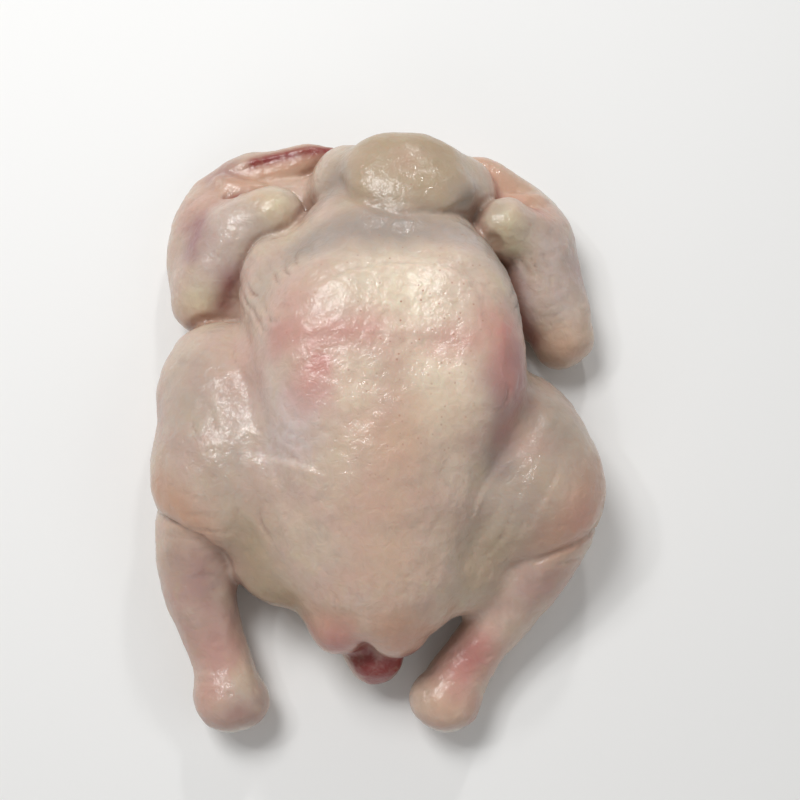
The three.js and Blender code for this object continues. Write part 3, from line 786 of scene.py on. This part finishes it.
class Finish:
    """A node material, with short ways to add a node and to join two of them."""

    def __init__(self, name):
        self.material = bpy.data.materials.new(name)
        self.material.use_nodes = True
        self.tree = self.material.node_tree
        self.shader = self.tree.nodes["Principled BSDF"]

    def add(self, kind, settings=None, **inputs):
        made = self.tree.nodes.new("ShaderNode" + kind)
        for key, setting in (settings or {}).items():
            setattr(made, key, setting)
        for key, given in inputs.items():
            self.give(made.inputs[key.replace("_", " ")], given)
        return made

    def give(self, socket, given):
        if isinstance(given, bpy.types.NodeSocket):
            self.tree.links.new(given, socket)
        else:
            socket.default_value = given

    def calculate(self, operation, *numbers):
        made = self.add("Math", dict(operation=operation))
        for socket, given in zip(made.inputs, numbers):
            self.give(socket, given)
        return made.outputs[0]

    def times(self, first, second):
        return self.calculate("MULTIPLY", first, second)

    def plus(self, first, second):
        return self.calculate("ADD", first, second)

    def mix(self, amount, first, second, blend="MIX"):
        made = self.add("Mix", dict(data_type="RGBA", blend_type=blend))
        self.give(made.inputs[0], amount)
        self.give(made.inputs[6], first)
        self.give(made.inputs[7], second)
        return made.outputs[2]

    def ramp(self, given, low, high, to_low=0.0, to_high=1.0):
        made = self.add("MapRange", dict(interpolation_type="SMOOTHSTEP"), Value=given)
        sockets = ("From Min", "From Max", "To Min", "To Max")
        for name, number in zip(sockets, (low, high, to_low, to_high)):
            made.inputs[name].default_value = number
        return made.outputs[0]

    def noise(self, place, size, detail=3.0, roughness=0.55, distortion=0.0):
        made = self.add("TexNoise", None, Vector=place, Scale=1 / size, Detail=detail)
        made.inputs["Roughness"].default_value = roughness
        made.inputs["Distortion"].default_value = distortion
        return made.outputs["Fac"]

    def attribute(self, name):
        return self.add("Attribute", dict(attribute_name=name)).outputs["Fac"]


finish = Finish("raw_skin")
place = finish.add("TexCoord").outputs["Object"]
blotches = finish.noise(place, 14 * MM, detail=4)
mottle = finish.noise(place, 3.5 * MM, detail=4, distortion=0.8)
grain = finish.noise(place, 0.7 * MM, detail=2)
fatty = finish.noise(place, 9 * MM, detail=4, distortion=0.4)
colour = finish.mix(finish.ramp(blotches, 0.35, 0.7), CREAM, ROSE)
colour = finish.mix(finish.ramp(fatty, 0.5, 0.75, 0.0, 0.4), colour, TINT_COLOURS["fat"])
colour = finish.mix(finish.ramp(fatty, 0.25, 0.48, 0.35, 0.0), colour, TINT_COLOURS["cool"])
for kind, shade in TINT_COLOURS.items():
    ragged = finish.times(finish.attribute(kind), finish.ramp(mottle, 0.25, 0.7, 0.8, 1.1))
    colour = finish.mix(finish.calculate("MINIMUM", ragged, 1.0), colour, shade)
# Painted shade: fold hollows and wrinkle valleys darkened in the colour.
painted_fold_shade_amount = finish.ramp(finish.attribute("painted_fold_shade"), 0.0, 1.0, 0.0, 0.5)
colour = finish.mix(painted_fold_shade_amount, colour, FOLD_SHADE_COLOUR)
# Painted shade: skin in hollows and between parts is darkened and reddened where shade falls.
painted_hollow_shade_amount = finish.ramp(finish.attribute("painted_hollow_shade"), 0.25, 0.9, 0.0, 0.55)
colour = finish.mix(painted_hollow_shade_amount, colour, HOLLOW_SHADE_COLOUR)
mottled = finish.mix(finish.ramp(mottle, 0.3, 0.7), MOTTLE_SHADE, WHITE)
colour = finish.mix(0.5, colour, mottled, "MULTIPLY")

follicles = finish.add("TexVoronoi", dict(feature="F1"), Vector=place, Randomness=0.6)
follicles.inputs["Scale"].default_value = 1 / FOLLICLE_SPACING
dot = finish.ramp(follicles.outputs["Distance"], 0.05, 0.16, 1.0, 0.0)
ring = finish.ramp(follicles.outputs["Distance"], 0.04, 0.45, 0.0, 1.0)
dotted = finish.times(dot, finish.times(finish.attribute("pores"), 0.85))
colour = finish.mix(dotted, colour, FOLLICLE_COLOUR)
finish.give(finish.shader.inputs["Base Color"], colour)

goose = finish.ramp(follicles.outputs["Distance"], 0.1, 0.5, 1.0, 0.0)
goose = finish.times(goose, finish.times(finish.attribute("pores"), 0.8))
height = finish.plus(goose, finish.times(ring, 0.35))
height = finish.plus(height, finish.times(grain, 0.1))
height = finish.plus(height, mottle)
bump = finish.add("Bump", None, Height=height, Strength=0.45, Distance=0.0006)
finish.give(finish.shader.inputs["Normal"], bump.outputs["Normal"])
ripple = finish.noise(place, 2.6 * MM, detail=2, distortion=0.5)
wet_height = finish.plus(finish.times(height, 0.4), ripple)
wet_bump = finish.add("Bump", None, Height=wet_height, Strength=0.6, Distance=0.001)
finish.give(finish.shader.inputs["Coat Normal"], wet_bump.outputs["Normal"])
finish.give(finish.shader.inputs["Roughness"], finish.ramp(blotches, 0.3, 0.75, 0.32, 0.48))
finish.shader.inputs["IOR"].default_value = 1.4
finish.shader.inputs["Subsurface Weight"].default_value = 0.35
finish.shader.inputs["Subsurface Radius"].default_value = (1.0, 0.42, 0.26)
finish.shader.inputs["Subsurface Scale"].default_value = 0.0025
finish.shader.inputs["Coat Weight"].default_value = 0.42
finish.shader.inputs["Coat Roughness"].default_value = 0.1
mesh.materials.append(finish.material)

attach(skin, "root")
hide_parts("chicken")

# Table and light
# A plain pale floor under soft studio light: a bright panel above the neck end, two wide weak
# ones from the right and the tail side, two small ones for wet glints, and a pale surround.
FLOOR_SIZE = 6
floor_mesh = bpy.data.meshes.new("floor")
half = FLOOR_SIZE / 2
corners = [(-half, -half, 0), (half, -half, 0), (half, half, 0), (-half, half, 0)]
floor_mesh.from_pydata(corners, [], [(0, 1, 2, 3)])
floor = bpy.data.objects.new("floor", floor_mesh)
bpy.context.scene.collection.objects.link(floor)
floor_finish = Finish("floor")
floor_finish.shader.inputs["Base Color"].default_value = (0.86, 0.86, 0.85, 1)
floor_finish.shader.inputs["Roughness"].default_value = 0.7
floor_mesh.materials.append(floor_finish.material)

# Name, place in metres, width in metres, power in watts.
LIGHTS = [
    ("key", (-0.3, 0.4, 0.85), 0.35, 5.4),
    ("fill", (0.7, -0.25, 0.6), 0.7, 1.1),
    ("front", (-0.25, -0.8, 0.5), 0.6, 1.1),
    ("glint_behind", (0.15, 0.75, 0.55), 0.06, 1.3),
    ("glint_left", (-0.5, 0.25, 0.8), 0.06, 0.8),
]
for name, where, size, power in LIGHTS:
    data = bpy.data.lights.new(name, "AREA")
    data.size = size
    data.energy = power
    light = bpy.data.objects.new(name, data)
    light.location = where
    light.rotation_mode = "QUATERNION"
    light.rotation_quaternion = (-Vector(where)).to_track_quat("-Z", "Y")
    bpy.context.scene.collection.objects.link(light)

world = bpy.data.worlds.new("surround")
bpy.context.scene.world = world
world.use_nodes = True
world.node_tree.nodes["Background"].inputs["Color"].default_value = (1, 0.99, 0.98, 1)
world.node_tree.nodes["Background"].inputs["Strength"].default_value = 0.23
bpy.context.scene.view_settings.view_transform = "Standard"
